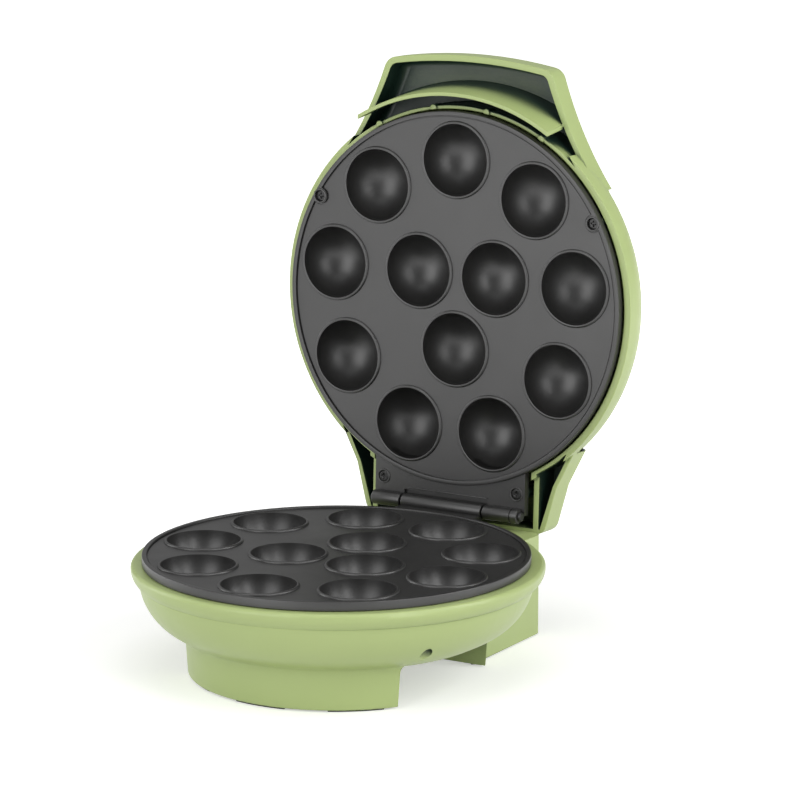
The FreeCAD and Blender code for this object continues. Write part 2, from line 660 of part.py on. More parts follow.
def all_screws():
    base_face = "-access_top - screw_head_h"
    keep(screws(base_screw_spots(), base_face, "base_screw_len"), "base_screws", "base")
    shield_face = "-shield_foot - screw_head_h"
    keep(screws(post_spots(), shield_face, "small_screw_len"), "lower_shield_screws", "base")
    keep(mirrored(screws(post_spots(), shield_face, "small_screw_len")), "upper_shield_screws", "lid")
    keep(screws(side_screw_spots(), "plate_gap", "lid_screw_len"), "side_screws", "lid")
    keep(screws(leaf_screw_spots(), "leaf_low", "lid_screw_len"), "leaf_screws", "lid")


# --------------------------------------------------------------------------- heaters
def heater_tube():
    """Sheathed heating tube: an open ring whose two ends bend down through the shield."""
    radius, bend = value("heater_r"), value("heater_bend")
    level, foot = -value("heater_drop"), -value("heater_leg")
    gap = math.radians(value("heater_gap"))
    back = Vector(0, -radius, level)
    tips, edges = [], []
    for side in (-1, 1):
        tip = Vector(side * radius * math.sin(gap), radius * math.cos(gap), level)
        along = Vector(-side * math.cos(gap), math.sin(gap), 0)
        low = tip + along * bend - Vector(0, 0, bend)
        halfway = tip + along * bend * math.sin(math.radians(45)) \
            - Vector(0, 0, bend * (1 - math.cos(math.radians(45))))
        end = Vector(low.x, low.y, foot)
        edges.append([Part.LineSegment(end, low).toShape(), Part.Arc(low, halfway, tip).toShape()])
        tips.append(tip)
    loop = Part.Arc(tips[0], back, tips[1]).toShape()
    path = Part.Wire([edges[0][0], edges[0][1], loop, edges[1][1], edges[1][0]])
    start = edges[0][0].Vertexes[0].Point
    profile = Part.Wire(Part.Circle(start, Vector(0, 0, 1), value("heater_d") / 2).toShape())
    tube = doc.addObject("Part::Feature", "heater_tube")
    tube.Shape = path.makePipeShell([profile], True, False)
    return tube


def heater_ends():
    """Formulas for the places of the heater's two ends."""
    for side in ("-", ""):
        yield (f"{side}(heater_r*sin(heater_gap) - heater_bend*cos(heater_gap))",
               "heater_r*cos(heater_gap) + heater_bend*sin(heater_gap)")


def heater_bushes():
    """Ceramic bushes seated on the heater's ends, in the heat shield's holes."""
    return fuse([ring("heater_d/2", "bush_r", "bush_len", x, y, "-heater_leg")
                 for x, y in heater_ends()])


def heater_tabs():
    """Flat terminals that stand out of the heater's ends."""
    return fuse([box((f"{x} - tab_t/2", f"{x} + tab_t/2"), (f"{y} - tab_w/2", f"{y} + tab_w/2"),
                     ("-heater_leg - tab_len", "-heater_leg"), "tab") for x, y in heater_ends()])


def shield_hole(radius, x, y):
    """Tool for a hole through a heat shield and the sheet riveted under it."""
    return cylinder(radius, "strap_t + clip_t + 2*shield_t", x, y,
                    "-shield_foot - strap_t - clip_t", "shield_hole")


def heat_shield():
    """Pressed sheet pan behind a plate, with holes for the heater ends and screws."""
    pan = turned("pan", [
        ("0", "-shield_drop"), ("shield_r", "-shield_drop"),
        ("shield_rim_r", "-shield_drop + shield_rise"),
        ("shield_rim_r + shield_t", "-shield_drop + shield_rise"),
        ("shield_r + shield_t", "-shield_foot"), ("0", "-shield_foot")])
    holes = [shield_hole("bush_r + screw_clear", x, y) for x, y in heater_ends()]
    holes += [shield_hole("screw_r + screw_clear", x, y) for x, y in post_spots()]
    return pan, holes


def heating():
    keep(heater_tube(), "lower_heater", "base")
    keep(heater_bushes(), "lower_heater_bushes", "base")
    keep(heater_tabs(), "lower_heater_tabs", "base")
    pan, holes = heat_shield()
    window = shield_hole("thermostat_hole", "inner_shift", "0")
    keep(cut(pan, holes + [window] + rivet_holes()), "lower_heat_shield", "base")
    keep(mirrored(heater_tube()), "upper_heater", "lid")
    keep(mirrored(heater_bushes()), "upper_heater_bushes", "lid")
    keep(mirrored(heater_tabs()), "upper_heater_tabs", "lid")
    pan, holes = heat_shield()
    keep(mirrored(cut(pan, holes)), "upper_heat_shield", "lid")


# --------------------------------------------------------------------------- hinge
def hinge():
    """Steel pin with a formed head at its left end and a pressed cap at its right."""
    pin = fuse([rod("pin_r", "-barrel_half", "barrel_half - cap_t", "hinge_y", "hinge_z"),
                rod("cap_r", "-barrel_half", "cap_t - barrel_half", "hinge_y", "hinge_z")])
    keep(pin, "hinge_pin", "lid")
    cap = cut(rod("cap_r", "barrel_half - 2*cap_t", "barrel_half", "hinge_y", "hinge_z"),
              [rod("pin_r", "barrel_half - 2*cap_t", "barrel_half - cap_t", "hinge_y", "hinge_z")])
    keep(cap, "hinge_cap", "lid")


# ------------------------------------------------------------------------ base shell
def pedestal_room(side):
    """Outline of the hollow in the front (-1) or back (1) pedestal."""
    chord = "tunnel_half + wall"
    radius = "pedestal_foot_r - wall"
    half = f"sqrt(({radius})^2 - ({chord})^2)"
    if side < 0:
        return [(f"-{half}", f"-({chord})"), (half, f"-({chord})", radius, 1)]
    return [(half, chord), (f"-{half}", chord, radius, 1)]


def base_shell():
    """Moulded bowl on two crescent pedestals, with a rounded band round its top.  At its
    back the hinge block comes down to the same height as a heel, which holds the cooker up
    when its lid stands open."""
    outside = turned("bowl", [
        ("0", "-deck_drop"), ("bowl_r", "-deck_drop"), ("bowl_r", "-bowl_top"),
        ("bowl_low_r", "-bowl_low", "bowl_curve_r", -1),
        ("pedestal_r", "-pedestal_top", "blend_r", 1),
        ("pedestal_foot_r", "-pedestal_foot + pedestal_round"),
        ("pedestal_foot_r - pedestal_round", "-pedestal_foot", "pedestal_round", -1),
        ("0", "-pedestal_foot")])
    band = at(turned("band", [
        ("0", "-deck_drop"), ("flange_r - flange_round", "-deck_drop"),
        ("flange_r", "-deck_drop - flange_round", "flange_round", -1),
        ("band_low_r", "-band_low", "band_curve_r", -1), ("0", "-band_low")]), "0", "flange_shift")
    block = bar("hinge_block", [
        ("tail_front", "-tail_top"), ("tail_back", "-tail_top"),
        ("tail_back", "-pedestal_foot"), ("tail_front", "-pedestal_foot")], "tail_half")
    back = value("tail_back")
    round_edges(block, "tail_round", lambda edge: upright(edge) and lies_at(edge, "y", back))
    tunnel = box(("-flange_r", "flange_r"), ("-tunnel_half", "tunnel_half"),
                 ("-plate_height", "-bowl_floor"), "tunnel")
    room = turned("room", [
        ("0", "0"), ("deck_r", "0"), ("deck_r", "-deck_drop - wall"),
        ("bowl_r - wall", "-deck_drop - wall"), ("bowl_r - wall", "-bowl_top"),
        ("bowl_low_r", "-room_floor", "bowl_curve_r - wall", -1), ("0", "-room_floor")])
    block_room = bar("hinge_block_room", [
        ("tail_front", "-tail_top - wall"), ("tail_back - wall", "-tail_top - wall"),
        ("tail_back - wall", "wall - pedestal_foot"), ("tail_front", "wall - pedestal_foot")],
        "tail_half - wall")
    rooms = [room, block_room]
    for side in (-1, 1):
        rooms.append(prism("pedestal_room", pedestal_room(side),
                           "wall - pedestal_foot", "-room_floor + wall"))
    bosses = [cylinder("boss_r", "plate_height", x, y, "-plate_height - deck_drop", "boss")
              for x, y in base_screw_spots()]
    shafts = []
    for x, y in base_screw_spots():
        shafts.append(cylinder("access_r", "plate_height - access_top", x, y, "-plate_height",
                               "access_shaft"))
        shafts.append(cylinder("screw_r + screw_clear", "plate_height", x, y, "-plate_height",
                               "screw_hole"))
    gland_hole = gland_disc("gland_r", "tail_back - 2*wall", "tail_back + wall")
    shell = cut(fuse([outside, band, block]),
                [tunnel, cut(fuse(rooms), bosses), gland_hole] + shafts)
    stops = [box((f"{middle} - stop_w/2", f"{middle} + stop_w/2"),
                 ("tail_back - wall/2", "stop_back"),
                 ("-stop_low", "-stop_top"), "stop_rib") for middle in ("-stop_x", "stop_x")]
    keep(fuse([shell] + stops), "base_shell", "base")


def feet():
    """Rubber strips: curved ones under the pedestals' edges, a straight one under the heel's."""
    heel_edge = "tail_back - pad_edge"
    pads = [box(("-heel_pad/2", "heel_pad/2"), (f"{heel_edge} - pad_w", heel_edge),
                ("-plate_height", "-pedestal_foot"), "heel_pad")]
    for side, steps in (("-90", (-1, 0, 1)), ("90", (-1, 1))):
        for step in steps:
            outer, inner = (doc.addObject("Part::Cylinder", "pad") for _ in range(2))
            bind(outer, "Radius", "pedestal_foot_r - pad_edge")
            bind(inner, "Radius", "pedestal_foot_r - pad_edge - pad_w")
            for sector in (outer, inner):
                bind(sector, "Height", "pad_t")
                bind(sector, "Angle", "pad_angle")
                turn(sector, Vector(0, 0, 1), f"360 + {side} + pad_pitch*{step} - pad_angle/2")
                at(sector, "0", "0", "-plate_height")
            pads.append(cut(outer, [inner]))
    keep(fuse(pads), "rubber_feet", "base")


# ----------------------------------------------------------- thermostat, fuse, wiring
def rivet_spots():
    """Places of the rivets under the heat shield, with the sheet that each one holds."""
    for side in ("-", "+"):
        yield f"inner_shift {side} (thermostat_hole + strap_foot/2)", "0", "strap_t"
    yield "fuse_x", "fuse_y + fuse_r + clip_t + clip_foot/2", "clip_t"


def rivet_holes():
    return [shield_hole("rivet_r", x, y) for x, y, _ in rivet_spots()]


def rivets():
    pieces = []
    for x, y, sheet_t in rivet_spots():
        under = f"-shield_foot - {sheet_t}"
        pieces.append(cylinder("rivet_r", f"shield_t + {sheet_t}", x, y, under, "rivet"))
        for level in ("-shield_drop", f"{under} - rivet_head_t"):
            pieces.append(cylinder("rivet_head_r", "rivet_head_t", x, y, level, "rivet_head"))
    keep(fuse(pieces), "shield_rivets", "base")


def thermostat():
    """Disc thermostat under the plate's post, with two flat terminals."""
    pieces = [cylinder("thermostat_r", "thermostat_h", "inner_shift", "0",
                       "-shield_drop - thermostat_h", "thermostat_body")]
    level = "-shield_drop - thermostat_h/2"
    for side in (-1, 1):
        pieces.append(box(beside("inner_shift", side, "thermostat_r/2", "thermostat_r/2 + tab_t"),
                          ("thermostat_r/2", "thermostat_r + tab_len"),
                          (f"{level} - tab_t", f"{level} + tab_t"), "tab"))
    keep(fuse(pieces), "thermostat", "base")


def thermostat_strap():
    """Bent strap that holds the thermostat up, riveted to the heat shield."""
    across = ("-strap_w/2", "strap_w/2")
    under = "-shield_drop - thermostat_h"
    leg_out = "thermostat_hole + strap_t"
    pieces = [box((f"inner_shift - ({leg_out})", f"inner_shift + {leg_out}"), across,
                  (f"{under} - strap_t", under), "strap_bridge")]
    for side in (-1, 1):
        pieces.append(box(beside("inner_shift", side, "thermostat_hole", leg_out), across,
                          (under, "-shield_foot"), "strap_leg"))
        pieces.append(box(beside("inner_shift", side, "thermostat_hole",
                                 "thermostat_hole + strap_foot"), across,
                          ("-shield_foot - strap_t", "-shield_foot"), "strap_foot"))
    keep(cut(fuse(pieces), rivet_holes()), "thermostat_strap", "base")


def thermal_fuse():
    """One-shot fuse with its leads, and the clip that holds it to the heat shield."""
    level = "-shield_foot - clip_t - fuse_r"
    half = "fuse_len/2"
    fuse_body = rod("fuse_r", f"fuse_x - {half}", f"fuse_x + {half}", "fuse_y", level, "fuse_body")
    leads = rod("fuse_lead_r", f"fuse_x - {half} - fuse_lead", f"fuse_x + {half} + fuse_lead",
                "fuse_y", level, "fuse_leads")
    keep(fuse([fuse_body, leads]), "thermal_fuse", "base")
    width = ("fuse_x - clip_w/2", "fuse_x + clip_w/2")
    block = box(width, ("fuse_y - fuse_r - clip_t", "fuse_y + fuse_r + clip_t"),
                (f"{level} - fuse_r - clip_t", "-shield_foot"), "clip_loop")
    foot = box(width, ("fuse_y + fuse_r", "fuse_y + fuse_r + clip_t + clip_foot"),
               ("-shield_foot - clip_t", "-shield_foot"), "clip_foot")
    hollow = rod("fuse_r", width[0], width[1], "fuse_y", level)
    keep(cut(fuse([block, foot]), [hollow] + rivet_holes()), "fuse_clip", "base")


def wiring_block():
    """Terminal block on the floor of the back pedestal, with clamp screws."""
    floor = "wall - pedestal_foot"
    body = box(("-block_w/2", "block_w/2"), ("block_y - block_d/2", "block_y + block_d/2"),
               (floor, f"{floor} + block_h"), "block_body")
    wells, clamps = [], []
    for step in (-1, 0, 1):
        x = f"block_pitch*{step}"
        wells.append(cylinder("screw_head_r + screw_clear", "block_h/2", x, "block_y",
                              f"{floor} + block_h/2", "well"))
        clamps.append(cylinder("screw_head_r", "screw_head_h", x, "block_y", f"{floor} + block_h/2",
                               "clamp_screw"))
    keep(cut(body, wells), "terminal_block", "base")
    keep(fuse(clamps), "terminal_screws", "base")


def gland_disc(radius, start, stop):
    """Cylinder along Y on the cord gland's axis, between two places."""
    thing = doc.addObject("Part::Cylinder", "gland_disc")
    bind(thing, "Radius", radius)
    bind(thing, "Height", f"({stop}) - ({start})")
    thing.Placement = Placement(Vector(), Rotation(Vector(1, 0, 0), -90))
    return at(thing, "0", start, "-gland_drop")


def cord_gland():
    """Rubber bush in the back of the hinge block, where the mains lead comes in."""
    inner_end, outer_end = "tail_back - wall - gland_flange_t", "tail_back + gland_flange_t"
    solids = [gland_disc("gland_r", inner_end, outer_end),
              gland_disc("gland_flange_r", inner_end, "tail_back - wall"),
              gland_disc("gland_flange_r", "tail_back", outer_end)]
    bore = gland_disc("gland_bore_r", inner_end, outer_end)
    keep(cut(fuse(solids), [bore]), "cord_gland", "base")


# -------------------------------------------------------------------------- lid shell
def handle_outline(inset):
    """Handle in plan, root to root round its front, drawn in by an inset."""
    root_x, end_x = f"handle_root_x - {inset}", f"handle_end_x - {inset}"
    end_y = f"-handle_end_y + {inset}"
    side_r = f"handle_side_r + {inset}"
    return [(f"-({root_x})", "-handle_root_y"), (f"-({end_x})", end_y, side_r, -1),
            (end_x, end_y, f"handle_front_r - {inset}", 1), (root_x, "-handle_root_y", side_r, -1)]


def back_outline(inset):
    """The lid's tail in plan, drawn in by an inset."""
    sides = [(f"back_root_x - {inset}", "back_root_y"), (f"back_mid_x - {inset}", "back_mid_y"),
             (f"back_end_x - {inset}", f"back_end_y - {inset}")]
    return sides + [(f"-({x})", y) for x, y in reversed(sides)]


def lid_shell():
    """Moulded dome with its hollow handle, apron and tail."""
    dome = turned("dome", [
        ("0", "lid_low"), ("lid_r", "lid_low"), ("lid_r", "dome_start"),
        ("crown_edge", "crown_low", "dome_edge_r", 1), ("0", "crown_top", "crown_r", 1)])
    handle = prism("handle", handle_outline("0"), "handle_low", "handle_high")
    front = value("-handle_root_y - handle_wall")
    round_edges(handle, "handle_corner_r", lambda edge: upright(edge) and edge.CenterOfMass.y < front)
    top = value("handle_high")
    round_edges(handle, "handle_edge_r",
                lambda edge: lies_at(edge, "z", top) and edge.CenterOfMass.y < front)
    tail = prism("tail", back_outline("0"), "back_low", "back_high")
    end = value("back_end_y")
    round_edges(tail, "back_corner_r", lambda edge: upright(edge) and lies_at(edge, "y", end))
    ceiling, behind = value("back_high"), value("back_root_y + wall")
    round_edges(tail, "back_edge_r",
                lambda edge: lies_at(edge, "z", ceiling) and edge.CenterOfMass.y > behind)

    room = turned("dome_room", [
        ("0", "0"), ("lid_ring_r", "0"), ("lid_ring_r", "inner_turn_z"),
        ("dome_centre + inner_edge_r*cos(dome_turn)", "dome_start + inner_edge_r*sin(dome_turn)",
         "inner_edge_r", 1), ("0", "crown_top - wall", "inner_crown_r", 1)])
    handle_room = prism("handle_room", handle_outline("handle_wall"), "0", "handle_high - handle_top_t")
    round_edges(handle_room, "handle_corner_r - handle_wall",
                lambda edge: upright(edge) and edge.CenterOfMass.y < front)
    grip_top = value("handle_high - handle_top_t")
    round_edges(handle_room, "handle_edge_r - handle_wall",
                lambda edge: lies_at(edge, "z", grip_top) and edge.CenterOfMass.y < front)
    grip = cut(handle_room, [cylinder("lid_ring_out_r", "handle_high")])
    ribs = [box(beside("0", side, "back_rib_x", "back_rib_x + back_rib_t"),
                ("back_root_y", "back_end_y"), ("0", "back_high"), "tail_rib") for side in (-1, 1)]
    pockets = cut(prism("tail_room", back_outline("wall"), "0", "back_high - wall"),
                  [cylinder("lid_ring_out_r", "back_high")] + ribs)
    channel = box(("-back_rib_x", "back_rib_x"), ("leaf_front_y", "back_end_y - wall"),
                  ("0", "back_high - wall"), "leaf_channel")
    bosses, pilots = [], []
    for spots, low in ((side_screw_spots(), "upper_back"), (leaf_screw_spots(), "leaf_high")):
        for x, y in spots:
            bosses.append(cylinder("lid_boss_r", "crown_top", x, y, low, "lid_boss"))
            pilots.append(cylinder("screw_r + thread_clear", "lid_screw_len", x, y, low, "pilot"))
    lamp_holes = [cylinder("lens_r + lens_clear", "crown_top", x, "-lamp_y", "0", "lamp_hole")
                  for x in ("-lamp_x", "lamp_x")]
    shell = cut(fuse([dome, handle, tail]),
                [cut(fuse([room, grip, pockets, channel]), bosses)] + pilots + lamp_holes)

    skirt = turned("apron_skirt", [
        ("apron_r - apron_t", "-apron_low"), ("apron_r", "-apron_low"),
        ("apron_r + apron_flare", "apron_top"), ("apron_r + apron_flare - apron_t", "apron_top")])
    apron = common(skirt, box(("-apron_half", "apron_half"), ("-2*apron_r", "-handle_root_y"),
                              ("-apron_low", "handle_high")), "apron")
    studs = []
    for angle in ("-stud_outer", "-stud_inner", "stud_inner", "stud_outer"):
        x, y = polar("(lid_ring_r + lid_ring_out_r)/2", f"-90 + ({angle})")
        studs.append(cylinder("stud_r", "stud_rise + dome_start - lid_low", x, y, "lid_low - stud_rise",
                              "stud"))
    trim = cylinder("lid_ring_r", "dome_start")
    keep(fuse([shell, apron, cut(fuse(studs), [trim])]), "lid_shell", "lid")


def lamps():
    """Two indicator lenses in the lid, with their bulbs in one holder."""
    seat = "lamp_face - 2*wall"
    for x, name in (("-lamp_x", "power_lamp_lens"), ("lamp_x", "ready_lamp_lens")):
        stem = cylinder("lens_r", "2*wall + lens_rise", x, "-lamp_y", seat, "lens_stem")
        flange = cylinder("lens_flange_r", "lens_flange_t", x, "-lamp_y", f"{seat} - lens_flange_t",
                          "lens_flange")
        keep(fuse([stem, flange]), name, "lid")
    low = f"{seat} - lens_flange_t"
    spots = [("-lamp_x", "-lamp_y"), ("lamp_x", "-lamp_y")]
    keep(fuse([cylinder("bulb_r", "bulb_len", x, y, f"{low} - bulb_len", "bulb") for x, y in spots]),
         "lamp_bulbs", "lid")
    plate = box(("-lamp_x - lens_flange_r", "lamp_x + lens_flange_r"),
                ("-lamp_y - lens_flange_r", "-lamp_y + lens_flange_r"),
                (f"{low} - holder_t", low), "holder")
    holes = [cylinder("bulb_r", "3*holder_t", x, y, f"{low} - 2*holder_t") for x, y in spots]
    keep(cut(plate, holes), "lamp_holder", "lid")


base_shell()
feet()
lower_plate()
upper_plate()
heating()
hinge()
thermostat()
thermostat_strap()
thermal_fuse()
rivets()
wiring_block()
cord_gland()
lid_shell()
lamps()
all_screws()
doc.recompute()

# -------------------------------------------------------------------- check and write
for thing in doc.Objects:
    if {"Invalid", "Error"} & set(thing.State):
        raise RuntimeError(f"{thing.Name} ({thing.Label}) could not be built")
os.makedirs("parts", exist_ok=True)
for piece in finished:
    shape = piece.Shape
    if shape.isNull() or not shape.isValid():
        raise RuntimeError(f"{piece.Label} has no sound shape")
    shape.exportStep(f"parts/{piece.Label}.step")
    print(f"{piece.Label}: {len(shape.Solids)} solid(s), {shape.Volume / 1000:.2f} cm3")
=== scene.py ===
import json
import math

import bmesh
import bpy
from mathutils import Matrix, Vector


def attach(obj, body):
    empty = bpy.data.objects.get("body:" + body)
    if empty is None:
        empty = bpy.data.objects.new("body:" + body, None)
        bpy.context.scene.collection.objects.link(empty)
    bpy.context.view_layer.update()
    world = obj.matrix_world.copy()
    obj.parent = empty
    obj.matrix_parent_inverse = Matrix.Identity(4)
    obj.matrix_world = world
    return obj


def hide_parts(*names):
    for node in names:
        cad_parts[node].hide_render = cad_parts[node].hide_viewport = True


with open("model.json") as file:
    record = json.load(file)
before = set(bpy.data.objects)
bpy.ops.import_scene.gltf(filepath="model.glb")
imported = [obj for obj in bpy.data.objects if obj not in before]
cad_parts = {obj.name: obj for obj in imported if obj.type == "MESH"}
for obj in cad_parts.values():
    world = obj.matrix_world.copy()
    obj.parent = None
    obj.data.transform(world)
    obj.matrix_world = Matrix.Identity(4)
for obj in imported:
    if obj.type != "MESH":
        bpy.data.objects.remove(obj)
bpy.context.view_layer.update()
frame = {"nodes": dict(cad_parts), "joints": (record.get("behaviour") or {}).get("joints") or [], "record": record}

scene = bpy.context.scene

# Pieces are modelled in millimetres round the centre of the lower cooking surface with the lid
# closed. These matrices carry them into the frame: the base as it stands, the lid swung open.
hingePlace = {"back": 110.658, "rise": 1.2}
hingeJoint = frame["joints"][0]
hingeSpot = Vector(hingeJoint["pos_m"])
openAngle = math.radians(hingeJoint["range_deg"][1])
fromHinge = Matrix.Scale(0.001, 4) @ Matrix.Translation((0, -hingePlace["back"], -hingePlace["rise"]))
placeOf = {"base": Matrix.Translation(hingeSpot) @ fromHinge,
           "lid": Matrix.Translation(hingeSpot) @ Matrix.Rotation(-openAngle, 4, "X") @ fromHinge}
print("frame loaded")


# shapes that the pieces are made from
def arc(across, up, radius, start, stop, count):
    # points of an arc in a profile, angles in degrees
    turns = [math.radians(start + (stop - start) * step / count) for step in range(count + 1)]
    return [(across + radius * math.cos(turn), up + radius * math.sin(turn)) for turn in turns]


def spun(profile, steps, ring=False):
    # solid turned round Z from a profile of (radius, height); a ring's profile closes on itself
    bm = bmesh.new()
    verts = [bm.verts.new((radius, 0, height)) for radius, height in profile]
    pairs = list(zip(verts, verts[1:])) + ([(verts[-1], verts[0])] if ring else [])
    edges = [bm.edges.new(pair) for pair in pairs]
    bmesh.ops.spin(bm, geom=verts + edges, cent=(0, 0, 0), axis=(0, 0, 1), angle=math.tau,
                   steps=steps, use_merge=True)
    bmesh.ops.remove_doubles(bm, verts=bm.verts, dist=0.001)
    bmesh.ops.recalc_face_normals(bm, faces=bm.faces)
    return bm


def block(low, high, rounding=0):
    # box between two corners, its edges rounded where a rounding is given
    bm = bmesh.new()
    bmesh.ops.create_cube(bm, size=1)
    size = Vector(high) - Vector(low)
    bmesh.ops.scale(bm, vec=size, verts=bm.verts)
    bmesh.ops.translate(bm, vec=(Vector(high) + Vector(low)) / 2, verts=bm.verts)
    if rounding:
        bmesh.ops.bevel(bm, geom=bm.edges[:], offset=rounding, segments=3, affect="EDGES",
                        profile=0.5, material=-1, clamp_overlap=True)
    return bm


def moved(bm, matrix):
    bmesh.ops.transform(bm, matrix=matrix, verts=bm.verts)
    return bm


def gathered(parts):
    # several meshes as one
    whole = bmesh.new()
    for part in parts:
        mesh = bpy.data.meshes.new("work")
        part.to_mesh(mesh)
        part.free()
        whole.from_mesh(mesh)
        bpy.data.meshes.remove(mesh)
    return whole


def shaped(bm, steps):
    # the mesh after boolean steps, each an operation and the mesh that does it
    work = []
    for part in [bm] + [tool for _, tool in steps]:
        mesh = bpy.data.meshes.new("work")
        part.to_mesh(mesh)
        part.free()
        work.append(bpy.data.objects.new("work", mesh))
        scene.collection.objects.link(work[-1])
    for (operation, _), tool in zip(steps, work[1:]):
        knife = work[0].modifiers.new(operation, "BOOLEAN")
        knife.operation = operation
        knife.object = tool
        knife.solver = "EXACT"
    result = bmesh.new()
    result.from_object(work[0], bpy.context.evaluated_depsgraph_get())
    for thing in work:
        mesh = thing.data
        bpy.data.objects.remove(thing)
        bpy.data.meshes.remove(mesh)
    bmesh.ops.remove_doubles(result, verts=result.verts, dist=0.002)
    bmesh.ops.dissolve_degenerate(result, edges=result.edges, dist=0.002)
    return result


def finished(name, bm, body, material, replaced, crease=35, placed=False):
    # the mesh as a piece of the object: placed, smooth between creases, riding on its body
    if not placed:
        bmesh.ops.transform(bm, matrix=placeOf[body], verts=bm.verts)
        bmesh.ops.recalc_face_normals(bm, faces=bm.faces)
    mesh = bpy.data.meshes.new(name)
    bm.to_mesh(mesh)
    bm.free()
    mesh.shade_smooth()
    mesh.set_sharp_from_angle(angle=math.radians(crease))
    mesh.materials.append(material)
    piece = bpy.data.objects.new(name, mesh)
    scene.collection.objects.link(piece)
    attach(piece, body)
    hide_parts(*replaced)
    return piece


def eased(nodeName, name, body, width, corner=38):
    # the node's own solid with the edges sharper than a corner angle eased by a width in metres
    source = frame["nodes"][nodeName]
    bm = bmesh.new()
    bm.from_mesh(source.data)
    bmesh.ops.remove_doubles(bm, verts=bm.verts, dist=0.000002)
    bmesh.ops.dissolve_degenerate(bm, edges=bm.edges, dist=0.000002)
    sharp = [edge for edge in bm.edges
             if edge.is_manifold and edge.calc_face_angle() > math.radians(corner)]
    bmesh.ops.bevel(bm, geom=sharp, offset=width, segments=2, affect="EDGES", profile=0.5,
                    material=-1, clamp_overlap=False, loop_slide=True)
    # sharp corners can throw a bevel point out of the solid's own box
    low = [min(point[axis] for point in source.bound_box) for axis in range(3)]
    high = [max(point[axis] for point in source.bound_box) for axis in range(3)]
    for vert in bm.verts:
        vert.co = [min(max(vert.co[axis], low[axis]), high[axis]) for axis in range(3)]
    slotName = slotOfNode[nodeName]
    piece = finished(name, bm, body, finishOfSlot[slotName], [nodeName], placed=True)
    # large flat faces keep their own direction beside the narrow eased ones
    even = piece.modifiers.new("evenNormals", "WEIGHTED_NORMAL")
    even.mode = "FACE_AREA"
    even.keep_sharp = True
    return piece


# finishes
def finish(name, colour, roughness, specular=0.5, metallic=0.0):
    # a principled material and its texture coordinates
    material = bpy.data.materials.new(name)
    material.use_nodes = True
    nodes = material.node_tree.nodes
    shader = nodes["Principled BSDF"]
    shader.inputs["Base Color"].default_value = (*colour, 1)
    shader.inputs["Roughness"].default_value = roughness
    shader.inputs["Specular IOR Level"].default_value = specular
    shader.inputs["Metallic"].default_value = metallic
    place = nodes.new("ShaderNodeTexCoord")
    return material, shader, place


def speckle(material, place, scale, detail=3.0):
    # noise on object coordinates, in features per metre
    nodes, links = material.node_tree.nodes, material.node_tree.links
    noise = nodes.new("ShaderNodeTexNoise")
    noise.inputs["Scale"].default_value = scale
    noise.inputs["Detail"].default_value = detail
    links.new(place.outputs["Object"], noise.inputs["Vector"])
    return noise


def sheened(material, shader, noise, smooth, dull):
    # roughness that wanders between two values, over the middle of the noise's range
    nodes, links = material.node_tree.nodes, material.node_tree.links
    spread = nodes.new("ShaderNodeMapRange")
    spread.inputs["From Min"].default_value = 0.3
    spread.inputs["From Max"].default_value = 0.7
    spread.inputs["To Min"].default_value = smooth
    spread.inputs["To Max"].default_value = dull
    links.new(noise.outputs["Fac"], spread.inputs["Value"])
    links.new(spread.outputs["Result"], shader.inputs["Roughness"])


def tinted(material, shader, noise, first, second):
    # base colour that wanders between two tones
    nodes, links = material.node_tree.nodes, material.node_tree.links
    tones = nodes.new("ShaderNodeMix")
    tones.data_type = "RGBA"
    tones.inputs["A"].default_value = (*first, 1)
    tones.inputs["B"].default_value = (*second, 1)
    links.new(noise.outputs["Fac"], tones.inputs["Factor"])
    links.new(tones.outputs["Result"], shader.inputs["Base Color"])


def paintPocketShade(material, shader, reach, pocket, clear):
    # painted shade: the base colour deepens to a dark blue green where ambient occlusion finds the surface in a
    # pocket
    nodes, links = material.node_tree.nodes, material.node_tree.links
    openness = nodes.new("ShaderNodeAmbientOcclusion")
    openness.samples = 8
    openness.only_local = True
    openness.inputs["Distance"].default_value = reach
    spread = nodes.new("ShaderNodeMapRange")
    spread.interpolation_type = "SMOOTHSTEP"
    spread.inputs["From Min"].default_value = pocket
    spread.inputs["From Max"].default_value = clear
    links.new(openness.outputs["AO"], spread.inputs["Value"])
    depth = nodes.new("ShaderNodeMix")
    depth.data_type = "RGBA"
    # dark blue green of the painted shade
    depth.inputs["A"].default_value = (0.012, 0.03, 0.022, 1)
    tone = shader.inputs["Base Color"].links[0].from_socket
    links.new(spread.outputs["Result"], depth.inputs["Factor"])
    links.new(tone, depth.inputs["B"])
    links.new(depth.outputs["Result"], shader.inputs["Base Color"])


def grained(material, shader, noise, depth):
    # fine relief of a real depth in metres
    nodes, links = material.node_tree.nodes, material.node_tree.links
    bump = nodes.new("ShaderNodeBump")
    bump.inputs["Distance"].default_value = depth
    bump.inputs["Strength"].default_value = 1.0
    links.new(noise.outputs["Fac"], bump.inputs["Height"])
    links.new(bump.outputs["Normal"], shader.inputs["Normal"])


def greenPlastic():
    # moulded housing: even pistachio green, satin, with a faint orange peel
    look = {"deep": (0.365, 0.45, 0.178), "light": (0.40, 0.485, 0.198), "blotches": 9,
            "satin": 0.38, "smooth": 0.33, "dull": 0.4, "sheen": 60, "grain": 900, "grainDeep": 0.00002,
            "pocketReach": 0.045, "pocket": 0.4, "clear": 0.8}
    material, shader, place = finish("greenPlastic", look["light"], look["satin"])
    tinted(material, shader, speckle(material, place, look["blotches"]), look["deep"], look["light"])
    # painted shade darkens the green in the handle's pocket and other recesses
    paintPocketShade(material, shader, look["pocketReach"], look["pocket"], look["clear"])
    sheened(material, shader, speckle(material, place, look["sheen"]), look["smooth"], look["dull"])
    grained(material, shader, speckle(material, place, look["grain"], 2), look["grainDeep"])
    return material


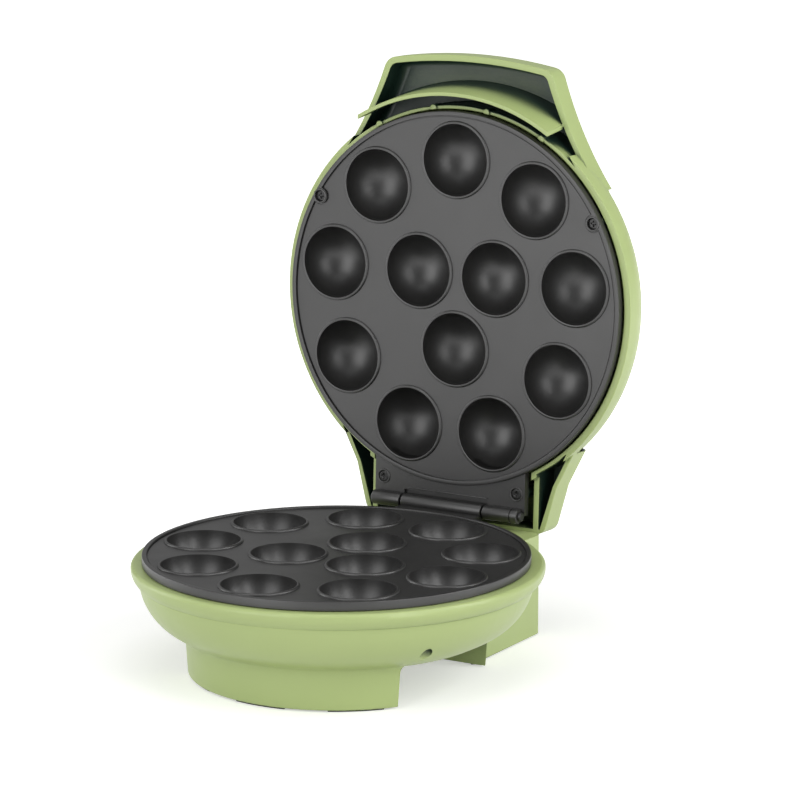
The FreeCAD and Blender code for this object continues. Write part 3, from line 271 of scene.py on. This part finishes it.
def nonStick():
    # cast aluminium under a sprayed charcoal coating with a fine pebble
    look = {"dark": (0.010, 0.0098, 0.0095), "light": (0.016, 0.0156, 0.015), "pebbles": 1400,
            "satin": 0.4, "specular": 0.8, "smooth": 0.37, "dull": 0.43, "sheen": 45,
            "grain": 2600, "grainDeep": 0.00002}
    material, shader, place = finish("nonStick", look["light"], look["satin"], look["specular"])
    tinted(material, shader, speckle(material, place, look["pebbles"], 2), look["dark"], look["light"])
    sheened(material, shader, speckle(material, place, look["sheen"]), look["smooth"], look["dull"])
    grained(material, shader, speckle(material, place, look["grain"], 2), look["grainDeep"])
    return material


def plainFinish(name, colour, roughness, metallic=0.0, specular=0.5):
    # small parts: worn roughness and a little grain
    look = {"darker": 0.86, "blotches": 160, "smooth": 0.85, "dull": 1.15, "sheen": 400,
            "grain": 1800, "grainDeep": 0.00001}
    material, shader, place = finish(name, colour, roughness, specular, metallic)
    darker = tuple(value * look["darker"] for value in colour)
    tinted(material, shader, speckle(material, place, look["blotches"]), darker, colour)
    sheened(material, shader, speckle(material, place, look["sheen"]),
            roughness * look["smooth"], roughness * look["dull"])
    grained(material, shader, speckle(material, place, look["grain"], 2), look["grainDeep"])
    return material


green = greenPlastic()
coating = nonStick()
blackSteel = plainFinish("blackSteel", (0.02, 0.02, 0.021), 0.38)
screwBlack = plainFinish("screwBlack", (0.012, 0.012, 0.012), 0.3)
finishOfSlot = {
    "green_shell": green, "nonstick_plate": coating, "black_screw": screwBlack, "black_pin": blackSteel,
    "black_rubber": plainFinish("blackRubber", (0.02, 0.02, 0.02), 0.75, specular=0.3),
    "zinc_steel": plainFinish("zincSteel", (0.62, 0.62, 0.64), 0.35, 1.0),
    "brass_terminal": plainFinish("brassTerminal", (0.72, 0.55, 0.27), 0.35, 1.0),
    "heater_sheath": plainFinish("heaterSheath", (0.25, 0.24, 0.23), 0.5, 1.0),
    "white_ceramic": plainFinish("whiteCeramic", (0.78, 0.76, 0.7), 0.55),
    "shield_sheet": plainFinish("shieldSheet", (0.72, 0.72, 0.73), 0.4, 1.0),
    "brown_phenolic": plainFinish("brownPhenolic", (0.12, 0.06, 0.03), 0.5),
    "fuse_case": plainFinish("fuseCase", (0.55, 0.54, 0.5), 0.35, 1.0),
    "white_nylon": plainFinish("whiteNylon", (0.74, 0.73, 0.69), 0.45),
    "red_lens": plainFinish("redLens", (0.55, 0.03, 0.02), 0.12),
    "green_lens": plainFinish("greenLens", (0.05, 0.42, 0.08), 0.12),
    "bulb_glass": plainFinish("bulbGlass", (0.8, 0.8, 0.78), 0.1),
}
slotOfNode = {entry["node"]: entry["material_slot"] for entry in frame["record"]["subparts"]}
for nodeName, node in frame["nodes"].items():
    node.data.materials.clear()
    node.data.materials.append(finishOfSlot[slotOfNode[nodeName]])
print("finishes made:", len(finishOfSlot))


# housing, feet and small parts that keep the solids' shapes
easedParts = [
    ("base_shell", "baseHousing", "base", 0.0003, 60), ("lid_shell", "lidHousing", "lid", 0.0004),
    ("rubber_feet", "rubberFeet", "base", 0.0003), ("cord_gland", "cordGland", "base", 0.0004),
    ("hinge_pin", "hingePin", "lid", 0.0002), ("hinge_cap", "hingeCap", "lid", 0.0002),
    ("side_screws", "sideScrews", "lid", 0.00015), ("leaf_screws", "leafScrews", "lid", 0.00015),
    ("base_screws", "baseScrews", "base", 0.00015),
    ("power_lamp_lens", "powerLens", "lid", 0.0004), ("ready_lamp_lens", "readyLens", "lid", 0.0004),
]
for entry in easedParts:
    eased(*entry)
print("housing and small parts made:", len(easedParts))


# cooking plates; "sunk" is how deep one shape stands in another that it joins, and the names
# with "Past" say how far a cutting shape reaches beyond what it cuts
plateSizes = {
    "edge": 98.7, "thick": 3.4, "rim": 2.4, "rimRise": 1.05, "rimRound": 0.4, "steps": 256,
    "cup": 19.0, "cupWall": 2.5, "cupPast": 3, "lip": 20.5, "lipInside": 0.5, "lipLift": 0.02,
    "lipRoot": 1.5,
    "outerRing": 73.298, "outerCups": 9, "innerRing": 26.298, "innerCups": 3, "innerShift": 2.0,
    "groove": 0.65, "grooveDeep": 0.5, "gap": 2.4, "sunk": 0.5,
    "tabRing": 94.8, "tabAngles": (-30, 210), "tab": 4.2, "tabPast": 1, "boundPast": 5,
}


def cupPlaces():
    s = plateSizes
    for index in range(s["outerCups"]):
        turn = math.radians(-90 + 360 / s["outerCups"] * index)
        yield Vector((s["outerRing"] * math.cos(turn), s["outerRing"] * math.sin(turn), 0))
    for index in range(s["innerCups"]):
        turn = math.radians(90 + 360 / s["innerCups"] * index)
        yield Vector((s["innerShift"] + s["innerRing"] * math.cos(turn), s["innerRing"] * math.sin(turn), 0))


def atCups(make):
    # one mesh with a copy of a piece at every cup
    return gathered([moved(make(), Matrix.Translation(place)) for place in cupPlaces()])


def cupShell():
    s = plateSizes
    outer = s["cup"] + s["cupWall"]
    return spun([(0, -s["thick"] / 2)] + arc(0, 0, outer, -5, -90, 12), 48)


def cupLip():
    # rounded lip that stands on the face round a cup
    s = plateSizes
    middle = (s["cup"] - s["lipInside"] + s["lip"]) / 2
    half = s["lip"] - middle
    crown = arc(middle, s["lipLift"], half, 0, 180, 9)[:-1]
    root = [(middle - half, s["lipLift"]), (middle - half, -s["lipRoot"]), (s["lip"], -s["lipRoot"])]
    return spun(crown + root, 96, ring=True)


def cupHollow():
    s = plateSizes
    return spun([(0, s["cupPast"]), (s["cup"], s["cupPast"])] + arc(0, 0, s["cup"], 0, -90, 20), 96)


def tabShape(size, low, high):
    # round tab under a side screw, drawn out to the plate's edge
    s = plateSizes
    shapes = []
    for angle in s["tabAngles"]:
        bm = bmesh.new()
        made = bmesh.ops.create_circle(bm, cap_ends=True, radius=size, segments=48)
        outward = [vert for vert in made["verts"] if vert.co.x > 0.01]
        bmesh.ops.translate(bm, vec=(size, 0, 0), verts=outward)
        grown = bmesh.ops.extrude_face_region(bm, geom=bm.faces[:])
        top = [item for item in grown["geom"] if isinstance(item, bmesh.types.BMVert)]
        bmesh.ops.translate(bm, vec=(0, 0, low), verts=bm.verts)
        bmesh.ops.translate(bm, vec=(0, 0, high - low), verts=top)
        bmesh.ops.recalc_face_normals(bm, faces=bm.faces)
        turn = Matrix.Rotation(math.radians(angle), 4, "Z")
        shapes.append(moved(bm, turn @ Matrix.Translation((s["tabRing"], 0, 0))))
    return gathered(shapes)


def plateFace(withTabs):
    # disc with its raised edge, groove, cups and lips, face up
    s = plateSizes
    rimFoot = s["edge"] - s["rim"]
    floor = -s["grooveDeep"]
    rise, r = s["rimRise"], s["rimRound"]
    disc = spun([(0, -s["thick"]), (s["edge"], -s["thick"])]
                + arc(s["edge"] - r, rise - r, r, 0, 90, 4)
                + arc(rimFoot + r, rise - r, r, 90, 180, 4) + [(rimFoot, floor), (0, floor)], s["steps"])
    landEdge, landFoot = rimFoot - s["groove"], floor - s["sunk"]
    land = spun([(0, landFoot), (landEdge, landFoot), (landEdge, 0), (0, 0)], s["steps"])
    steps = [("UNION", land), ("UNION", atCups(cupShell)), ("UNION", atCups(cupLip)),
             ("DIFFERENCE", atCups(cupHollow))]
    if withTabs:
        bound = spun([(0, -s["thick"]), (s["edge"] - r, -s["thick"]), (s["edge"] - r, s["boundPast"]),
                      (0, s["boundPast"])], s["steps"])
        gaps = tabShape(s["tab"] + s["groove"], -s["thick"], s["tabPast"])
        land = shaped(land, [("DIFFERENCE", gaps)])
        tabs = shaped(tabShape(s["tab"], landFoot, rise), [("INTERSECT", bound)])
        steps[0] = ("UNION", land)
        steps.insert(1, ("UNION", tabs))
    return shaped(disc, steps)


hingeSizes = {
    "knuckle": 3.85, "half": 45.5, "left": -26.4, "right": 22.0, "gap": 1.2, "edgeRound": 0.35,
    "pin": 1.6, "pinClear": 0.05, "pinHead": 0.9, "pinCap": 1.8,
    "ring": 39.7, "ringWide": 0.7, "ringDeep": 0.5, "ringSlope": 0.1,
    "leafFront": 84.0, "leafLow": 3.6, "leafThick": 4.0, "relief": 5.75, "reliefPast": 5, "web": 2.0,
    "neckFront": 93.9, "neckThick": 3.0, "bore": 2.5, "boreStart": -30, "boreLong": 60,
    "ridge": 0.8, "ridgeBack": 6.4, "ridgeSunk": 0.5, "ridgeRound": 0.25, "notch": 3.0,
    "screwAcross": 40.4, "screwBack": 99.5,
}

seatSizes = {"head": 2.95, "clear": 0.05, "deep": 2.6, "headPast": 2,
             "ring": 3.9, "ringRise": 0.5, "ringRound": 0.35, "ringSunk": 0.5}


def seatRings(places, face):
    # raised rings round the screw heads, on a face that looks down
    s = seatSizes
    inside, r = s["head"] + s["clear"], s["ringRound"]
    rings = []
    for x, y in places:
        ring = spun([(inside, -s["ringSunk"]), (s["ring"], -s["ringSunk"])]
                    + arc(s["ring"] - r, s["ringRise"] - r, r, 0, 90, 3)
                    + arc(inside + r, s["ringRise"] - r, r, 90, 180, 3), 48, ring=True)
        down = Matrix.Translation((x, y, face)) @ Matrix.Scale(-1, 4, (0, 0, 1))
        rings.append(moved(ring, down))
    whole = gathered(rings)
    bmesh.ops.recalc_face_normals(whole, faces=whole.faces)
    return whole


def seatHoles(places, face):
    # sunk seats of the screw heads
    s = seatSizes
    holes = []
    for x, y in places:
        hole = spun([(0, -s["headPast"]), (s["head"], -s["headPast"]), (s["head"], s["deep"]),
                     (0, s["deep"])], 48)
        holes.append(moved(hole, Matrix.Translation((x, y, face))))
    return gathered(holes)


def alongX(bm, start):
    # a piece turned round Z laid along X on the hinge axis, from a start
    return moved(bm, Matrix.Translation((start, hingePlace["back"], hingePlace["rise"]))
                 @ Matrix.Rotation(math.radians(90), 4, "Y"))


def knuckle(start, stop, ringAt=None):
    # hollow rod on the axis, its ends rounded, with a turned groove where one is asked for
    h = hingeSizes
    length, r = stop - start, h["edgeRound"]
    outer, inner = h["knuckle"], h["pin"] + h["pinClear"]
    groove = []
    if ringAt is not None:
        low, high = ringAt - start - h["ringWide"] / 2, ringAt - start + h["ringWide"] / 2
        floor = outer - h["ringDeep"]
        groove = [(outer, low), (floor, low + h["ringSlope"]), (floor, high - h["ringSlope"]),
                  (outer, high)]
    return alongX(spun([(inner, 0), (outer - r, 0)] + arc(outer - r, r, r, -90, 0, 3) + groove
                       + arc(outer - r, length - r, r, 0, 90, 3) + [(inner, length)],
                       64, ring=True), start)


def lowerPlate():
    h, s = hingeSizes, plateSizes
    neck = block((h["left"], h["neckFront"], -s["thick"]),
                 (h["right"], hingePlace["back"], h["neckThick"] - s["thick"]))
    bore = spun([(0, 0), (h["bore"], 0), (h["bore"], h["boreLong"]), (0, h["boreLong"])], 32)
    neck = shaped(neck, [("DIFFERENCE", alongX(bore, h["boreStart"]))])
    plate = gathered([plateFace(False), neck, knuckle(h["left"], h["right"])])
    return finished("lowerCookingPlate", plate, "base", coating, ["lower_plate"], 30)


lowerPlate()
print("lower plate made")


def upperPlate():
    h, s = hingeSizes, plateSizes
    across = Matrix.Translation((0, 0, s["gap"])) @ Matrix.Scale(-1, 4, (0, 0, 1))
    face = moved(plateFace(True), across)
    bmesh.ops.recalc_face_normals(face, faces=face.faces)
    sideSpots = [(s["tabRing"] * math.cos(math.radians(angle)), s["tabRing"] * math.sin(math.radians(angle)))
                 for angle in s["tabAngles"]]
    leafSpots = [(side * h["screwAcross"], h["screwBack"]) for side in (-1, 1)]
    tabFace = s["gap"] - s["rimRise"]
    face = shaped(face, [("DIFFERENCE", seatHoles(sideSpots, tabFace))])
    leaf = block((-h["half"], h["leafFront"], h["leafLow"]),
                 (h["half"], hingePlace["back"], h["leafLow"] + h["leafThick"]))
    relief = block((h["left"] - h["gap"], hingePlace["back"] - h["relief"], 0),
                   (h["right"] + h["gap"], hingePlace["back"] + h["reliefPast"],
                    h["leafLow"] + h["leafThick"] - h["web"]))
    cups = moved(atCups(cupHollow), across)
    bmesh.ops.recalc_face_normals(cups, faces=cups.faces)
    leaf = shaped(leaf, [("DIFFERENCE", relief), ("DIFFERENCE", cups),
                         ("DIFFERENCE", seatHoles(leafSpots, h["leafLow"]))])
    ridge = block((h["left"] - h["gap"] + h["notch"], hingePlace["back"] - h["ridgeBack"] - h["ridge"],
                   h["leafLow"] - h["ridge"]),
                  (h["right"] + h["gap"], hingePlace["back"] - h["ridgeBack"],
                   h["leafLow"] + h["ridgeSunk"]), h["ridgeRound"])
    parts = [face, leaf, ridge, seatRings(leafSpots, h["leafLow"]), seatRings(sideSpots, tabFace),
             knuckle(h["pinHead"] - h["half"], h["left"] - h["gap"]),
             knuckle(h["right"] + h["gap"], h["half"] - h["pinCap"], h["ring"])]
    return finished("upperCookingPlate", gathered(parts), "lid", coating,
                    ["upper_plate"], 30)


upperPlate()
print("upper plate made")


# room, lights and camera
cameraSizes = {"azimuth": 30.86, "elevation": 12.49, "distance": 2.23055, "lens": 201.3, "sensor": 36,
               "target": (0.03739, 0.0, 0.08403)}
# azimuth and elevation in degrees, distance, width and height in metres, then watts
lampSizes = {
    "leftBox": (-12, 17, 1.5, 0.95, 1.5, 12.5),
    "rightBox": (67, 24, 1.5, 0.42, 1.3, 8.5),
    "topBox": (20, 80, 1.6, 1.2, 1.2, 8),
    "rightRim": (108, 22, 1.5, 0.5, 1.3, 11),
    "leftRim": (-80, 18, 1.5, 0.5, 1.3, 7),
}
# "lift" is the table's own brightness, which grows between two distances from the object
roomSizes = {"lampsFace": 0.15, "fill": 0.16, "mirrored": 0.3, "table": 30, "tableTone": 0.8,
             "tableRough": 0.6, "nearBy": 0.12, "farOff": 0.7, "liftNear": 0.42, "liftFar": 1.0}


def softBox(name, azimuth, elevation, distance, width, height, power):
    # rectangular lamp that faces the object from an azimuth beside -Y
    turn, rise = math.radians(azimuth), math.radians(elevation)
    away = Vector((math.sin(turn) * math.cos(rise), -math.cos(turn) * math.cos(rise), math.sin(rise)))
    lamp = bpy.data.lights.new(name, "AREA")
    lamp.shape = "RECTANGLE"
    lamp.size, lamp.size_y, lamp.energy = width, height, power
    holder = bpy.data.objects.new(name, lamp)
    holder.location = Vector((0, 0, roomSizes["lampsFace"])) + away * distance
    holder.rotation_euler = away.to_track_quat("Z", "Y").to_euler()
    scene.collection.objects.link(holder)


def studio():
    # the lamps, and a world that is white where it is seen and a faint fill where it lights
    for name, sizes in lampSizes.items():
        softBox(name, *sizes)
    world = bpy.data.worlds.new("studio")
    scene.world = world
    world.use_nodes = True
    nodes, links = world.node_tree.nodes, world.node_tree.links
    nodes.clear()
    rays = nodes.new("ShaderNodeLightPath")
    direct, seen, part = (nodes.new("ShaderNodeMath") for _ in range(3))
    direct.operation, seen.operation, part.operation = "MAXIMUM", "MAXIMUM", "MULTIPLY"
    part.inputs[1].default_value = roomSizes["mirrored"]
    links.new(rays.outputs["Is Camera Ray"], direct.inputs[0])
    links.new(rays.outputs["Is Transmission Ray"], direct.inputs[1])
    links.new(rays.outputs["Is Glossy Ray"], part.inputs[0])
    links.new(direct.outputs["Value"], seen.inputs[0])
    links.new(part.outputs["Value"], seen.inputs[1])
    fill, white = nodes.new("ShaderNodeBackground"), nodes.new("ShaderNodeBackground")
    fill.inputs["Color"].default_value = (1, 1, 1, 1)
    fill.inputs["Strength"].default_value = roomSizes["fill"]
    white.inputs["Color"].default_value = (1, 1, 1, 1)
    mix, out = nodes.new("ShaderNodeMixShader"), nodes.new("ShaderNodeOutputWorld")
    links.new(seen.outputs["Value"], mix.inputs["Fac"])
    links.new(fill.outputs["Background"], mix.inputs[1])
    links.new(white.outputs["Background"], mix.inputs[2])
    links.new(mix.outputs["Shader"], out.inputs["Surface"])


def tableTop():
    # pale floor that keeps the object's soft shadow
    t = roomSizes
    bm = bmesh.new()
    bmesh.ops.create_circle(bm, cap_ends=True, radius=t["table"], segments=64)
    mesh = bpy.data.meshes.new("tableTop")
    bm.to_mesh(mesh)
    bm.free()
    table = bpy.data.objects.new("tableTop", mesh)
    scene.collection.objects.link(table)
    material = bpy.data.materials.new("tableTop")
    material.use_nodes = True
    nodes, links = material.node_tree.nodes, material.node_tree.links
    shader = nodes["Principled BSDF"]
    shader.inputs["Base Color"].default_value = (t["tableTone"], t["tableTone"], t["tableTone"], 1)
    shader.inputs["Roughness"].default_value = t["tableRough"]
    shader.inputs["Specular IOR Level"].default_value = 0.0
    rays = nodes.new("ShaderNodeLightPath")
    place = nodes.new("ShaderNodeTexCoord")
    reach = nodes.new("ShaderNodeVectorMath")
    reach.operation = "LENGTH"
    links.new(place.outputs["Object"], reach.inputs[0])
    faded = nodes.new("ShaderNodeMapRange")
    faded.inputs["From Min"].default_value = t["nearBy"]
    faded.inputs["From Max"].default_value = t["farOff"]
    faded.inputs["To Min"].default_value = t["liftNear"]
    faded.inputs["To Max"].default_value = t["liftFar"]
    links.new(reach.outputs["Value"], faded.inputs["Value"])
    seen, lift = nodes.new("ShaderNodeMath"), nodes.new("ShaderNodeMath")
    seen.operation, lift.operation = "MAXIMUM", "MULTIPLY"
    links.new(rays.outputs["Is Camera Ray"], seen.inputs[0])
    links.new(rays.outputs["Is Glossy Ray"], seen.inputs[1])
    links.new(seen.outputs["Value"], lift.inputs[0])
    links.new(faded.outputs["Result"], lift.inputs[1])
    shader.inputs["Emission Color"].default_value = (1, 1, 1, 1)
    links.new(lift.outputs["Value"], shader.inputs["Emission Strength"])
    mesh.materials.append(material)


def camera():
    c = cameraSizes
    turn, rise = math.radians(c["azimuth"]), math.radians(c["elevation"])
    back = Vector((math.sin(turn) * math.cos(rise), -math.cos(turn) * math.cos(rise), math.sin(rise)))
    lens = bpy.data.cameras.new("camera")
    lens.lens, lens.sensor_width = c["lens"], c["sensor"]
    holder = bpy.data.objects.new("camera", lens)
    plateCentre = placeOf["base"] @ Vector((0, 0, 0))
    holder.location = plateCentre + Vector(c["target"]) + back * c["distance"]
    holder.rotation_euler = back.to_track_quat("Z", "Y").to_euler()
    scene.collection.objects.link(holder)
    scene.camera = holder


studio()
tableTop()
camera()
scene.view_settings.view_transform = "Standard"
print("studio made")
